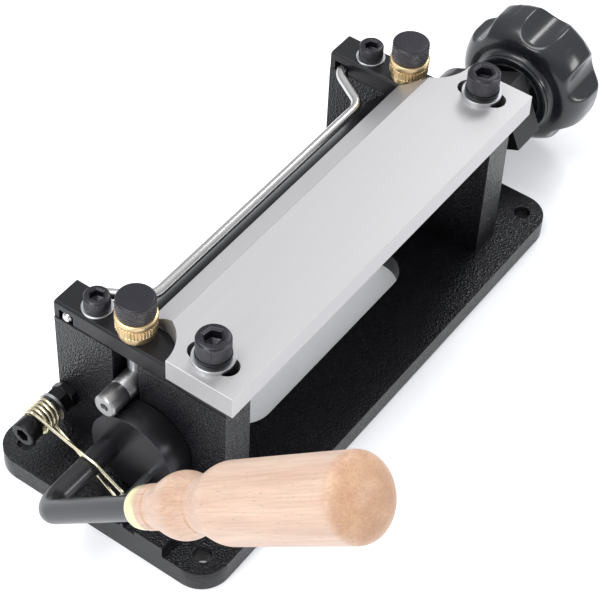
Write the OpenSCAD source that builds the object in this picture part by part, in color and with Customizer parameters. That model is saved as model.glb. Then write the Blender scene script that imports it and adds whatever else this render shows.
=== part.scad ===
// Bench splitting machine for leather: a fixed blade over a roller that a lever lowers.
// X runs along the blade, the lever is at -X, the blade's cutting edge faces +Y, Z is up.

/* [Base plate] */
// Length of the base plate outside each upright
base_over = 27.1; // [25:0.1:32]
// Depth of the base plate
base_w = 104; // [98:1:120]
// Thickness of the base plate
base_t = 9; // [8:0.5:12]
// Radius of the plate's corners
base_corner_r = 12; // [6:1:16]
// Diameter of the four bench holes
bench_hole_d = 7; // [5.5:0.5:9]
// Distance of the bench holes from the plate's edges
bench_hole_inset = 9.9; // [9:0.1:13]
// Distance of the window's ends from the uprights
window_end = 23; // [16:1:34]
// Width of the window in the plate
window_w = 44; // [30:1:52]
// Corner radius of the window
window_r = 13; // [6:1:14]
// Height of the raised pad at the lever end
pad_h = 5; // [3:0.5:6]

/* [Uprights and bars] */
// Clear distance between the two uprights
throat = 158; // [150:1:164]
// Thickness of each upright
wall_t = 14.4; // [13:0.2:16]
// Depth of each upright
wall_w = 78; // [74:1:84]
// Height of each upright above the base plate
wall_h = 59.2; // [57:0.2:64]
// Width of the slot for the roller's journal
slot_w = 12.3; // [11.5:0.1:13]
// Thickness of the bridge bars
bar_t = 8; // [7:0.5:10]
// Width of the bridge bars
bar_w = 13.7; // [13:0.1:14.4]
// Centre of the bar bolts from the middle plane, towards the back
bar_bolt_y = 24.2; // [22:0.2:26]

/* [Blade] */
// Length of the blade outside each upright
blade_over = 3.8; // [2:0.2:8]
// Thickness of the blade
blade_t = 9.6; // [8:0.2:12]
// Overhang of the blade's front face over the uprights
blade_front_over = 5.6; // [2:0.2:8]
// Width of the ground bevel at the cutting edge
bevel_w = 12; // [10:0.5:15]
// Radius of the notch at each back corner
notch_r = 18; // [17:0.2:19]
// Distance of the notch's centre outside the adjuster
notch_out = 10.85; // [10.4:0.05:11.4]
// Distance of the notch's centre from the cutting edge
notch_back = 3.3; // [3:0.1:4.5]
// Distance of the clamp bolts in front of the middle plane
blade_bolt_y = 28; // [26:0.5:30]
// Length of the clamp slots in the blade
blade_slot_l = 20.9; // [14:0.1:23]

/* [Roller and guide] */
// Diameter of the roller over its sleeve
roller_d = 31; // [26:0.5:34]
// Diameter of the shaft inside the roller
shaft_core_d = 12; // [11:0.5:14]
// Diameter of the roller's journals
journal_d = 9.5; // [8:0.5:10]
// Length of journal that stands out of the upright
journal_out = 12.5; // [11.5:0.5:14]
// Gap between the roller and the cutting edge
split_gap = 7.9; // [6:0.1:9]
// Distance of the roller's axis behind the cutting edge
roller_back = 0.2; // [0:0.1:0.6]
// Diameter of the guide rod
rod_d = 4.2; // [3:0.1:4.6]
// Reach of the guide rod's crank
rod_reach = 18.2; // [16:0.2:20]
// Distance of the guide rod's ends behind the middle plane
rod_end_y = 33.5; // [32:0.5:34]

// Distance from the middle to the guide rod's crank, along the blade
rod_crank_x = 66; // [56:1:68]

/* [Adjusters] */
// Diameter of the adjuster stems
stem_d = 8; // [6:0.5:8]
// Diameter of the black caps
cap_d = 15; // [13:0.5:17]
// Height of the black caps
cap_h = 7.3; // [6:0.1:10]
// Diameter of the brass nuts' collar
nut_d = 16; // [14:0.5:17]
// Height of the brass nuts
nut_h = 10.5; // [9:0.5:12]
// Number of teeth round a cap
cap_teeth = 44; // [24:4:48]
// Number of teeth round a brass nut
nut_teeth = 40; // [24:4:48]

/* [Lever and cams] */
// Diameter of the lever bar
lever_d = 9; // [8:0.5:9.5]
// Height of the lever shaft above the base plate
shaft_h = 20; // [19.5:0.1:21]
// Angle of the handle above level, at rest
lever_angle = 41.5; // [30:0.5:50]
// Distance of the handle outside the near upright
lever_out = 48.6; // [44:0.2:54]
// Bend radius of the lever bar
lever_bend_r = 10; // [8:1:14]
// Distance from the shaft's axis to the ferrule
ferrule_at = 60.7; // [50:0.1:66]
// Length of the wooden handle
handle_l = 110.5; // [95:0.5:130]
// Largest diameter of the wooden handle
handle_d = 28.4; // [26:0.2:32]
// Radius of the cam discs
cam_r = 18.6; // [17:0.1:19]
// Thickness of the cam discs
cam_t = 11; // [9:0.5:11.5]
// Distance of the cam's centre from the lever shaft
cam_e = 11.6; // [11:0.1:12]

/* [Hand knob] */
// Distance of the square block outside the far upright
block_out = 28.1; // [16:0.1:32]
// Thickness of the square block
block_t = 17; // [14:0.5:20]
// Width of the square block
block_w = 28; // [26:1:30]
// Distance of the knob's axis from the lever shaft
knob_arm = 20; // [18:0.5:24]
// Angle of the block above level
block_angle = 24.5; // [15:0.5:35]
// Radius over the knob's lobes
knob_r = 30.2; // [26:0.1:32]
// Diameter of the collar at the knob's back
knob_collar_d = 37; // [30:1:42]
// Length of the knob
knob_h = 30; // [26:0.5:34]
// Number of lobes
knob_lobes = 6; // [5:1:8]

/* [Return spring] */
// Diameter of the spring wire
wire_d = 1.4; // [1.1:0.1:1.5]
// Mean radius of the curls
coil_r = 5.25; // [5:0.05:5.6]
// Number of curls, before the legs are added
coil_turns = 4; // [3:1:4]
// Distance between neighbouring curls
coil_pitch = 1.85; // [1.85:0.05:2]
// Distance of the spring's axis behind the middle plane
spring_y = 35; // [34.5:0.5:36]
// Height of the spring's axis above the base plate
spring_h = 19; // [17:0.5:22]

/* [Hidden] */
$fn = 64;

// Clearances
run_gap = 0.08;      // running fit, radial
set_gap = 0.04;      // fixed fit, radial
free_gap = 0.3;      // faces that pass each other

// Heights
wall_top = base_t + wall_h;
bar_top = wall_top + bar_t;
edge_z = bar_top;
blade_top = bar_top + blade_t;

// Planes along X
wall_in = throat / 2;
wall_out = wall_in + wall_t;
wall_mid = (wall_in + wall_out) / 2;
base_l = 2 * (wall_out + base_over);
window_l = throat - 2 * window_end;
blade_l = 2 * (wall_out + blade_over);

// Blade in plan
blade_front = -wall_w / 2 - blade_front_over;
edge_y = 5.8;
notch_y = edge_y - notch_back;
adjuster_x = wall_mid + 0.15;

// Roller
roller_y = edge_y + roller_back;
roller_z = edge_z - split_gap - roller_d / 2;
roller_l = throat - 2;

// Lever shaft, right under the roller
shaft_y = roller_y;
shaft_z = base_t + shaft_h;
lever_x = wall_out + lever_out;
cam_in = wall_out + 0.6;
cam_face = cam_in + cam_t;
// The cam's centre lies so that its rim just carries the journal at rest
cam_reach = cam_r + journal_d / 2 + 0.25;
cam_h = roller_z - shaft_z;
cam_angle = asin((cam_e * cam_e + cam_h * cam_h - cam_reach * cam_reach) / (2 * cam_e * cam_h));
cam_y = shaft_y - cam_e * cos(cam_angle);
cam_z = shaft_z + cam_e * sin(cam_angle);

// Far block and knob
block_in = wall_out + block_out;
block_end = block_in + block_t;
knob_y = shaft_y - knob_arm * cos(block_angle);
knob_z = shaft_z + knob_arm * sin(block_angle);
knob_in = block_end + 3.5;
stud_d = 10;
stud_collar_d = 16;
set_d = 5;
set_l = 6;

// Adjusters
stem_tip = roller_z + journal_d / 2 + 0.05;
cap_bottom = bar_top + nut_h + 0.3;
cap_top = cap_bottom + cap_h;

// Guide rod: its ends lie on the uprights
rod_z = wall_top + rod_d / 2 + 0.05;
rod_end_x = wall_out - 0.2;
rod_bend_x = wall_in - 2;

// Fasteners: thread diameter, head diameter, head height, and how deep each kind screws in
m6_bite = 16;
m8_bite = 20;
base_bite = 12;
spring_bite = 12.5;
nut_flats = 10;
m6 = [6, 10, 6];
m8 = [8, 13, 8];
nut6_t = 5;
jam6_t = 3.2;
washer6 = [6.4, 12, 1.2];
washer8 = [8.4, 16, 1.6];
lock8_t = 2;

// Return spring along X, outwards from the near upright
nuts_end = wall_out + jam6_t + nut6_t;
spring_seat = nuts_end + washer6[2];
coil_in = spring_seat + wire_d / 2 + 0.3;
coil_out = coil_in + (coil_turns + 0.5) * coil_pitch;
spring_head = coil_out + wire_d / 2 + 0.5;
spring_z = base_t + spring_h;
pin_d = 3.2;
pin_y = shaft_y - 19;
pin_z = shaft_z - 2;
hook_x = coil_out + 4.4;
pin_out = hook_x + 2.6;

// ---------- shared shapes ----------

// Cylinder along X that starts at x = x0
module rod_x(x0, length, d) {
    translate([x0, 0, 0]) rotate([0, 90, 0]) cylinder(d = d, h = length);
}

// Both ends of the machine: the child is drawn for the far side and mirrored
module both_ends() {
    children();
    mirror([1, 0, 0]) children();
}

module rounded_plan(l, w, r) {
    for (sx = [-1, 1])
        for (sy = [-1, 1])
            translate([sx * (l / 2 - r), sy * (w / 2 - r)]) circle(r = r);
    square([l - 2 * r, w], center = true);
    square([l, w - 2 * r], center = true);
}

// Socket cap screw on its seat at z = 0, thread pointing down
module socket_screw(size, length) {
    edge = size[1] * 0.05;
    difference() {
        union() {
            rotate_extrude()
                polygon([[0, 0], [size[1] / 2, 0], [size[1] / 2, size[2] - edge],
                    [size[1] / 2 - edge, size[2]], [0, size[2]]]);
            translate([0, 0, -length]) cylinder(d = size[0], h = length + 0.01);
        }
        translate([0, 0, size[2] * 0.42]) cylinder(d = size[0] * 0.96, h = size[2], $fn = 6);
    }
}

module washer(size) {
    difference() {
        cylinder(d = size[1], h = size[2]);
        translate([0, 0, -1]) cylinder(d = size[0], h = size[2] + 2);
    }
}

module hex_nut(bore, flats, h) {
    difference() {
        intersection() {
            cylinder(d = flats / cos(30), h = h, $fn = 6);
            rotate_extrude()
                polygon([[0, 0], [flats * 0.5, 0], [flats * 0.6, h * 0.18], [flats * 0.6, h * 0.82],
                    [flats * 0.5, h], [0, h]]);
        }
        translate([0, 0, -1]) cylinder(d = bore, h = h + 2);
    }
}

// Plan of a straight knurl: a ring of shallow teeth
module knurl_plan(d, teeth, depth) {
    polygon([for (i = [0 : 2 * teeth - 1])
        let (r = d / 2 - (i % 2) * depth, a = i * 180 / teeth) [r * cos(a), r * sin(a)]]);
}

// ---------- frame ----------

pad_x = 8.5;
pad_y0 = -31;
pad_l = 25;
pad_notch_1 = [pad_y0 + 12.6, 5.4];
pad_notch_2 = [pad_y0 + 19.5, 2.8];
notch_depth = 2;

module base_plate() {
    color("#2b2c2e")
    difference() {
        union() {
            linear_extrude(base_t) rounded_plan(base_l, base_w, base_corner_r);
            translate([-base_l / 2, pad_y0, 0]) cube([pad_x, pad_l, base_t + pad_h]);
        }
        translate([0, 0, -1]) linear_extrude(base_t + 2) rounded_plan(window_l, window_w, window_r);
        for (sx = [-1, 1])
            for (sy = [-1, 1]) {
                translate([sx * (base_l / 2 - bench_hole_inset),
                        sy * (base_w / 2 - bench_hole_inset), -1])
                    cylinder(d = bench_hole_d, h = base_t + 2);
                translate([sx * wall_mid, sy * base_screw_y, 0]) base_screw_hole();
            }
        // two notches across the pad's top
        for (n = [pad_notch_1, pad_notch_2])
            translate([-base_l / 2 - 1, n[0], base_t + pad_h - notch_depth])
                cube([pad_x + 2, n[1], notch_depth + 1]);
    }
}

base_screw_y = 25;
csk_d = 11.4;
csk_h = (csk_d - m6[0]) / 2;
csk_sink = 0.2;

module base_screw_hole() {
    translate([0, 0, -1]) cylinder(d = m6[0] + 2 * set_gap, h = base_t + 2);
    translate([0, 0, -1]) cylinder(d = csk_d + 2 * set_gap, h = 1 + csk_sink + 0.001);
    translate([0, 0, csk_sink])
        cylinder(d1 = csk_d + 2 * set_gap, d2 = m6[0] + 2 * set_gap, h = csk_h);
}

module base_screws() {
    color("#3a3a3c")
    for (sx = [-1, 1])
        for (sy = [-1, 1])
            translate([sx * wall_mid, sy * base_screw_y, csk_sink])
                difference() {
                    union() {
                        cylinder(d1 = csk_d, d2 = m6[0], h = csk_h);
                        cylinder(d = m6[0], h = base_t + base_bite - csk_sink);
                    }
                    translate([0, 0, -1]) cylinder(d = 4, h = 3, $fn = 6);
                }
}

// Upright drawn for the far end
module upright() {
    slot_low = roller_z - 4.5 - journal_d / 2;
    difference() {
        translate([wall_in, -wall_w / 2, base_t]) cube([wall_t, wall_w, wall_h]);
        // slot for the journal, open at the top
        journal_slot(slot_low);
        translate([0, shaft_y, shaft_z]) rod_x(wall_in - 1, wall_t + 2, lever_d + 2 * run_gap);
        // tapped holes from above and from below
        translate([wall_mid, -blade_bolt_y, wall_top - m8_bite - 2])
            cylinder(d = m8[0] + 2 * set_gap, h = m8_bite + 3);
        translate([wall_mid, bar_bolt_y, wall_top - m6_bite - 2])
            cylinder(d = m6[0] + 2 * set_gap, h = m6_bite + 3);
        for (sy = [-1, 1])
            translate([wall_mid, sy * base_screw_y, base_t - 1])
                cylinder(d = m6[0] + 2 * set_gap, h = base_bite + 2);
    }
}

module journal_slot(slot_low) {
    translate([wall_in - 1, roller_y - slot_w / 2, slot_low + slot_w / 2])
        cube([wall_t + 2, slot_w, wall_h]);
    translate([0, roller_y, slot_low + slot_w / 2]) rod_x(wall_in - 1, wall_t + 2, slot_w);
}

module upright_near() {
    color("#303134")
    difference() {
        mirror([1, 0, 0]) upright();
        translate([-wall_out - 1, spring_y, spring_z]) rod_x(0, spring_bite + 1.4, m6[0] + 2 * set_gap);
    }
}

module upright_far() {
    color("#303134") upright();
}

// Bridge bar drawn for the far end
module bridge_bar() {
    edge = 0.8;
    difference() {
        translate([wall_mid - bar_w / 2, wall_w / 2, wall_top])
            rotate([90, 0, 0])
                linear_extrude(wall_w)
                    polygon([[0, 0], [bar_w, 0], [bar_w, bar_t - edge], [bar_w - edge, bar_t],
                        [edge, bar_t], [0, bar_t - edge]]);
        translate([wall_mid, -blade_bolt_y, wall_top - 1])
            cylinder(d = m8[0] + 2 * set_gap, h = bar_t + 2);
        translate([wall_mid, bar_bolt_y, wall_top - 1])
            cylinder(d = m6[0] + 2 * set_gap, h = bar_t + 2);
        translate([adjuster_x, roller_y, wall_top - 1])
            cylinder(d = stem_d + 2 * run_gap, h = bar_t + 2);
        // notch underneath for the guide rod's end
        translate([wall_in - 1, rod_end_y - rod_d / 2 - 1.2, wall_top - 1])
            cube([wall_t + 2, rod_d + 2.4, 1 + rod_d + 0.5]);
    }
}

module bridge_bar_near() {
    color("#2a2a2c") mirror([1, 0, 0]) bridge_bar();
}

module bridge_bar_far() {
    color("#2a2a2c") bridge_bar();
}

module bar_bolts() {
    color("#3b3b3d")
    both_ends() translate([wall_mid, bar_bolt_y, bar_top + washer6[2]])
        socket_screw(m6, bar_t + washer6[2] + m6_bite);
}

module bar_washers() {
    color("#8f9194")
    both_ends() translate([wall_mid, bar_bolt_y, bar_top]) washer([m6[0] + 2 * set_gap, washer6[1], washer6[2]]);
}

// ---------- blade ----------

module blade() {
    half = blade_l / 2;
    notch_x = adjuster_x + notch_out;
    color("#c9cacd")
    difference() {
        rotate([90, 0, 90])
            translate([0, 0, -half])
                linear_extrude(blade_l)
                    polygon([[blade_front, edge_z], [edge_y, edge_z], [edge_y, edge_z + 0.25],
                        [edge_y - bevel_w, blade_top], [blade_front, blade_top]]);
        both_ends() {
            translate([notch_x, notch_y, edge_z - 1]) cylinder(r = notch_r, h = blade_t + 2);
            translate([notch_x - notch_r, notch_y, edge_z - 1])
                cube([notch_r + half, notch_back + 1, blade_t + 2]);
            blade_slot();
        }
    }
}

module blade_slot() {
    w = m8[0] + 1;
    run = blade_slot_l - w;
    for (s = [-1, 1])
        translate([wall_mid, s * run / 2 - blade_bolt_y, edge_z - 1]) cylinder(d = w, h = blade_t + 2);
    translate([wall_mid - w / 2, -run / 2 - blade_bolt_y, edge_z - 1]) cube([w, run, blade_t + 2]);
}

module blade_washers() {
    color("#b9babd")
    both_ends() translate([wall_mid, -blade_bolt_y, blade_top])
        washer([m8[0] + 2 * set_gap, washer8[1], washer8[2]]);
}

module blade_lock_washers() {
    color("#2f2f31")
    both_ends() translate([wall_mid, -blade_bolt_y, blade_top + washer8[2]])
        washer([m8[0] + 2 * set_gap, m8[1] + 0.6, lock8_t]);
}

module blade_bolts() {
    color("#39393b")
    both_ends() translate([wall_mid, -blade_bolt_y, blade_top + washer8[2] + lock8_t])
        socket_screw(m8, lock8_t + washer8[2] + blade_t + bar_t + m8_bite);
}

// ---------- guide rod ----------

rod_bend_r = 9;
rod_turn = atan2(rod_reach, rod_bend_x - rod_crank_x);
rod_bend_l = rod_bend_r * tan(rod_turn / 2);

// Half of the rod's centre line, from its end to the crank, with both bends
rod_half = concat(
    [[rod_end_x, 0, 0]],
    [for (k = [0 : 5]) let (a = 90 + rod_turn * k / 5)
        [rod_bend_x + rod_bend_l + rod_bend_r * cos(a), rod_bend_r * (sin(a) - 1), 0]],
    [for (k = [0 : 5]) let (a = 270 + rod_turn * (1 - k / 5))
        [rod_crank_x - rod_bend_l + rod_bend_r * cos(a), rod_bend_r * (sin(a) + 1) - rod_reach, 0]]);
rod_count = len(rod_half);

module guide_rod() {
    color("#c4c6c9")
    translate([0, rod_end_y, rod_z])
        tube(concat(rod_half, [for (k = [1 : rod_count])
            let (q = rod_half[rod_count - k]) [-q[0], q[1], q[2]]]), rod_d, 18, [0, 0, 1]);
}

// ---------- roller ----------

module roller_shaft() {
    end_x = wall_out + journal_out;
    r = journal_d / 2;
    color("#b4b6b9")
    translate([0, roller_y, roller_z])
        rotate([0, 90, 0])
            difference() {
                rotate_extrude()
                    polygon([[0, -end_x], [r - 0.6, -end_x], [r, -end_x + 0.6], [r, -roller_l / 2 - 0.4],
                        [shaft_core_d / 2, -roller_l / 2 - 0.4], [shaft_core_d / 2, roller_l / 2 + 0.4],
                        [r, roller_l / 2 + 0.4], [r, end_x - 0.6], [r - 0.6, end_x], [0, end_x]]);
                for (s = [-1, 1]) {
                    // centre hole and the groove near each end
                    translate([0, 0, s * end_x - 4]) cylinder(d = 3.4, h = 8);
                    translate([0, 0, s * (end_x - 9.2) - 0.4]) journal_groove();
                }
            }
}

module journal_groove() {
    difference() {
        cylinder(d = journal_d + 1, h = 0.8);
        translate([0, 0, -0.1]) cylinder(d = journal_d - 0.7, h = 1);
    }
}

module roller() {
    edge = 0.8;
    h = (roller_l - 1) / 2;
    color("#242426")
    translate([0, roller_y, roller_z])
        rotate([0, 90, 0])
            difference() {
                rotate_extrude($fn = 96)
                    polygon([[0, -h], [roller_d / 2 - edge, -h], [roller_d / 2, -h + edge],
                        [roller_d / 2, h - edge], [roller_d / 2 - edge, h], [0, h]]);
                translate([0, 0, -h - 1]) cylinder(d = shaft_core_d + 2 * run_gap, h = 2 * h + 2);
            }
}

// ---------- adjusters, drawn for the far end ----------

module adjuster_stem() {
    color("#9fa1a4")
    translate([adjuster_x, roller_y, 0])
        rotate_extrude()
            polygon([[0, stem_tip], [stem_d / 2 - 1, stem_tip], [stem_d / 2, stem_tip + 1],
                [stem_d / 2, cap_top - 1.5], [0, cap_top - 1.5]]);
}

module adjuster_cap() {
    rim = 0.7;
    color("#232325")
    translate([adjuster_x, roller_y, cap_bottom])
        difference() {
            intersection() {
                linear_extrude(cap_h) knurl_plan(cap_d, cap_teeth, 0.35);
                rotate_extrude()
                    polygon([[0, 0], [cap_d / 2 - rim, 0], [cap_d / 2 + 0.3, rim + 0.3],
                        [cap_d / 2 + 0.3, cap_h - rim - 0.3], [cap_d / 2 - rim, cap_h], [0, cap_h]]);
            }
            translate([0, 0, -1]) cylinder(d = stem_d + 2 * set_gap, h = cap_h - 0.5);
        }
}

module lock_nut() {
    foot_h = 2;
    band_h = 3;
    color("#c79a4b")
    translate([adjuster_x, roller_y, bar_top])
        difference() {
            union() {
                cylinder(d = nut_d - 3.6, h = foot_h + 0.01);
                translate([0, 0, foot_h])
                    linear_extrude(band_h) knurl_plan(nut_d - 0.8, nut_teeth, 0.45);
                rotate_extrude()
                    polygon([[0, foot_h], [nut_d / 2 - 1.3, foot_h], [nut_d / 2 - 1.3, foot_h + band_h + 0.6],
                        [nut_d / 2, foot_h + band_h + 1.2], [nut_d / 2, nut_h - 0.8],
                        [nut_d / 2 - 0.8, nut_h], [0, nut_h]]);
            }
            translate([0, 0, -1]) cylinder(d = stem_d + 2 * run_gap, h = nut_h + 2);
        }
}

module adjuster_stem_near() { mirror([1, 0, 0]) adjuster_stem(); }
module adjuster_stem_far() { adjuster_stem(); }
module adjuster_cap_near() { mirror([1, 0, 0]) adjuster_cap(); }
module adjuster_cap_far() { adjuster_cap(); }
module lock_nut_near() { mirror([1, 0, 0]) lock_nut(); }
module lock_nut_far() { lock_nut(); }

// ---------- lever ----------

// Frame of the handle: -Y runs out along the handle
module at_handle() {
    translate([-lever_x, shaft_y, shaft_z]) rotate([-lever_angle, 0, 0]) children();
}

module lever_rod() {
    color("#26272a")
    at_handle() {
        rod_x(lever_bend_r, lever_x - lever_bend_r + block_end - 1, lever_d);
        translate([lever_bend_r, -lever_bend_r, 0])
            rotate([0, 0, 90])
                rotate_extrude(angle = 90) translate([lever_bend_r, 0]) circle(d = lever_d);
        translate([0, -lever_bend_r, 0]) rotate([90, 0, 0])
            cylinder(d = lever_d, h = handle_at + tang_l - lever_bend_r);
    }
}

ferrule_l = 7.8;
ferrule_d = 15.2;
tang_l = 22;

module ferrule() {
    l = ferrule_l - 0.05;
    r = ferrule_d / 2;
    color("#e3d7a4")
    at_handle() translate([0, -ferrule_at, 0]) rotate([90, 0, 0])
        difference() {
            rotate_extrude()
                polygon([[0, 0], [r - 3, 0], [r - 1.4, 0.7], [r - 0.4, 2.2], [r, 4.4], [r, l], [0, l]]);
            translate([0, 0, -1]) cylinder(d = lever_d + 2 * set_gap, h = l + 2);
        }
}

// Turned handle: half profile from the ferrule to the domed end
handle_at = ferrule_at + ferrule_l;
handle_neck_d = 15.6;
handle_neck_l = 4.3;
handle_bead_d = 22.9;
handle_bead_at = 19.7;
handle_waist_d = 19.3;
handle_waist_at = 29.8;
handle_root_d = 27.2;
handle_root_at = 46;
handle_dome = 7;
function swell(a, b, u) = a + (b - a) * (1 - cos(180 * u)) / 2;
function handle_half(t) =
    let (r = handle_d / 2, bead = handle_bead_d / 2, waist = handle_waist_d / 2, neck = handle_neck_d / 2)
    let (root = handle_root_d / 2, body = handle_l - handle_dome)
    t < handle_neck_l ? neck
    : t < handle_bead_at ? swell(neck, bead, (t - handle_neck_l) / (handle_bead_at - handle_neck_l))
    : t < handle_waist_at ? swell(bead, waist, (t - handle_bead_at) / (handle_waist_at - handle_bead_at))
    : t < handle_root_at ? swell(waist, root, (t - handle_waist_at) / (handle_root_at - handle_waist_at))
    : t < body ? root + (r - root) * (t - handle_root_at) / (body - handle_root_at)
    : r * sqrt(max(0, 1 - pow((t - body) / handle_dome, 2.2)));

module handle() {
    body = handle_l - handle_dome;
    steps = [for (t = [0 : 2 : handle_root_at]) t, for (k = [0 : 8]) body + handle_dome * sin(k * 10)];
    color("#d9b48c")
    at_handle() translate([0, -handle_at, 0]) rotate([90, 0, 0])
        difference() {
            rotate_extrude()
                polygon(concat([[0, 0]], [for (t = steps) [handle_half(t), t]], [[0, handle_l]]));
            translate([0, 0, -1]) cylinder(d = lever_d + 2 * set_gap, h = tang_l + 1.5);
        }
}

// ---------- cams, drawn for the far end ----------

module cam() {
    color("#2c2d30")
    difference() {
        translate([cam_in, cam_y, cam_z]) rotate([0, 90, 0]) cylinder(r = cam_r, h = cam_t, $fn = 96);
        translate([0, shaft_y, shaft_z]) rod_x(cam_in - 1, cam_t + 2, lever_d + 2 * set_gap);
        // threaded hole of the set screw, from below
        translate([cam_in + cam_t / 2, shaft_y, shaft_z - cam_r - 5]) cylinder(d = set_d + 2 * set_gap, h = cam_r + 5);
    }
}

module cam_near() {
    color("#2c2d30")
    difference() {
        mirror([1, 0, 0]) cam();
        translate([-cam_face - 1, pin_y, pin_z]) rod_x(0, 8, pin_d + 2 * set_gap);
    }
}

module cam_far() { cam(); }

module set_screw(length) {
    difference() {
        cylinder(d = set_d, h = length);
        translate([0, 0, -1]) cylinder(d = set_d / 2, h = 3.5, $fn = 6);
    }
}

module set_screws() {
    tip = shaft_z - lever_d / 2 - 0.05;
    color("#4a4a4d") {
        both_ends() translate([cam_in + cam_t / 2, shaft_y, tip - set_l]) set_screw(set_l);
        at_block() translate([block_in + block_t / 2, 0, -lever_d / 2 - set_l - 0.05]) set_screw(set_l);
    }
}

module spring_pin() {
    color("#8a8c90")
    translate([-cam_face, pin_y, pin_z]) {
        rod_x(-(pin_out - cam_face), pin_out - cam_face + 6, pin_d);
        rod_x(-(pin_out - cam_face), 1.2, pin_d + 2);
    }
}

// ---------- far block and knob ----------

// Frame of the block: origin on the lever shaft, -Y towards the knob
module at_block() {
    translate([0, shaft_y, shaft_z]) rotate([-block_angle, 0, 0]) children();
}

module crank_block() {
    edge = 1;
    color("#2e2f32")
    difference() {
        at_block() {
            translate([block_in, -knob_arm - block_w / 2, -block_w / 2])
                cube([block_t, knob_arm + block_w / 2, block_w]);
            rod_x(block_in, block_t, block_w);
        }
        at_block() {
            rod_x(block_in - 1, block_t + 2, lever_d + 2 * set_gap);
            translate([0, -knob_arm, 0]) rod_x(block_in + 3, block_t, stud_d + 2 * set_gap);
            translate([block_in + block_t / 2, 0, -block_w]) cylinder(d = set_d + 2 * set_gap, h = block_w);
        }
    }
}

module knob_stud() {
    color("#8f9195")
    at_block() translate([0, -knob_arm, 0]) {
        rod_x(block_in + 3.2, knob_in + knob_h - 8 - block_in - 3.2, stud_d);
        rod_x(block_end, knob_in - block_end - 0.5, stud_collar_d);
    }
}

// Lobed knob: a turned body with a lipped collar, a cove and a domed back, scallops cut from its rim
knob_lip_h = 2;
knob_cove = 2.4;
knob_dome_h = 13;
knob_rim_h = 5;
knob_front_in = 9;
scallop_r = 10;
scallop_depth = 4.6;
scallop_at = 37.6;
module hand_knob() {
    collar = knob_collar_d / 2;
    cove_x = knob_in + knob_lip_h;
    rim = knob_r - collar - knob_cove;
    dome_x = cove_x + knob_cove;
    front_h = knob_h - (dome_x - knob_in) - knob_dome_h - knob_rim_h;
    front_x = dome_x + knob_dome_h + knob_rim_h;
    color("#1f2022")
    translate([0, knob_y, knob_z])
        difference() {
            rotate([0, 90, 0])
                rotate_extrude($fn = 96)
                    polygon(concat(
                        [[0, knob_in + 6], [collar - 5, knob_in + 6], [collar - 4, knob_in], [collar - 0.4, knob_in],
                            [collar, knob_in + 0.5], [collar, cove_x - 0.3]],
                        [for (a = [0 : 30 : 90]) [collar - 0.5 + (knob_cove + 0.5) * (1 - cos(a)),
                            cove_x + knob_cove * sin(a)]],
                        [for (a = [10 : 10 : 90]) [knob_r - rim * (1 - sin(a)), dome_x + knob_dome_h * (1 - cos(a))]],
                        [for (a = [0 : 15 : 90]) [knob_r - knob_front_in * (1 - cos(a)),
                            front_x + front_h * sin(a)]],
                        [[knob_r - knob_front_in - 4, knob_in + knob_h - 0.8], [0, knob_in + knob_h - 0.8]]));
            for (k = [0 : knob_lobes - 1])
                rotate([k * 360 / knob_lobes + scallop_at, 0, 0])
                    translate([0, knob_r + scallop_r - scallop_depth, 0])
                        rod_x(knob_in - 5, knob_h + 30, 2 * scallop_r);
            rod_x(knob_in - 1, knob_h - 6, stud_d + 2 * run_gap);
        }
}

// ---------- return spring ----------

module spring_bolt() {
    color("#303033")
    translate([-spring_head, spring_y, spring_z]) rotate([0, -90, 0])
        socket_screw(m6, spring_head - wall_out + spring_bite - 0.3);
}

module spring_nuts() {
    color("#3d3d40")
    translate([-wall_out, spring_y, spring_z]) rotate([0, -90, 0]) {
        rotate([0, 0, 12]) hex_nut(m6[0] + 2 * set_gap, nut_flats, jam6_t);
        translate([0, 0, jam6_t + 0.01]) rotate([0, 0, 32]) hex_nut(m6[0] + 2 * set_gap, nut_flats, nut6_t - 0.01);
    }
}

module spring_washer() {
    color("#b6b7ba")
    translate([-nuts_end, spring_y, spring_z]) rotate([0, -90, 0])
        washer([m6[0] + 2 * set_gap, washer6[1], washer6[2]]);
}

// Centre line of the spring in [x, y, z]: lower leg from the pad, curls, upper leg to the pin
leg_x = -base_l / 2 + pad_x * 0.6;
pad_top = base_t + pad_h;
leg_y = pad_notch_1[0] + pad_notch_1[1] / 2;
foot = [leg_x, leg_y + 3.8, pad_top + wire_d / 2 + 0.5];
cross_y = shaft_y;
cross_z = shaft_z + lever_d / 2 + wire_d / 2 + 0.6;
low_a = atan2(foot[2] - spring_z, foot[1] - spring_y)
    + acos(coil_r / norm([foot[1] - spring_y, foot[2] - spring_z])) + 360;
end_a = atan2(cross_z - spring_z, cross_y - spring_y)
    - acos(coil_r / norm([cross_y - spring_y, cross_z - spring_z])) + 360;
sweep = coil_turns * 360 + end_a - low_a;
rings = ceil(sweep / 45);
hook_r = pin_d / 2 + wire_d / 2 + 0.45;

coil_points = [for (i = [0 : rings])
    let (a = low_a + sweep * i / rings)
    [-(coil_in + (coil_out - coil_in) * i / rings), spring_y + coil_r * cos(a), spring_z + coil_r * sin(a)]];
spring_points = concat(
    [[leg_x, leg_y, pad_top - notch_depth + 0.6], [leg_x, leg_y + 0.3, pad_top - notch_depth + 2.4],
        [leg_x, leg_y + 1.6, pad_top + wire_d / 2 + 0.3], foot],
    coil_points,
    [[-hook_x, cross_y + 1, cross_z], [-hook_x, cross_y - 4, cross_z - 0.8]],
    [for (a = [0 : -45 : -180])
        [-hook_x, pin_y + hook_r * cos(a), pin_z + hook_r * sin(a)]],
    [[-hook_x, pin_y - hook_r, pin_z + 1.5]]);

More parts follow.
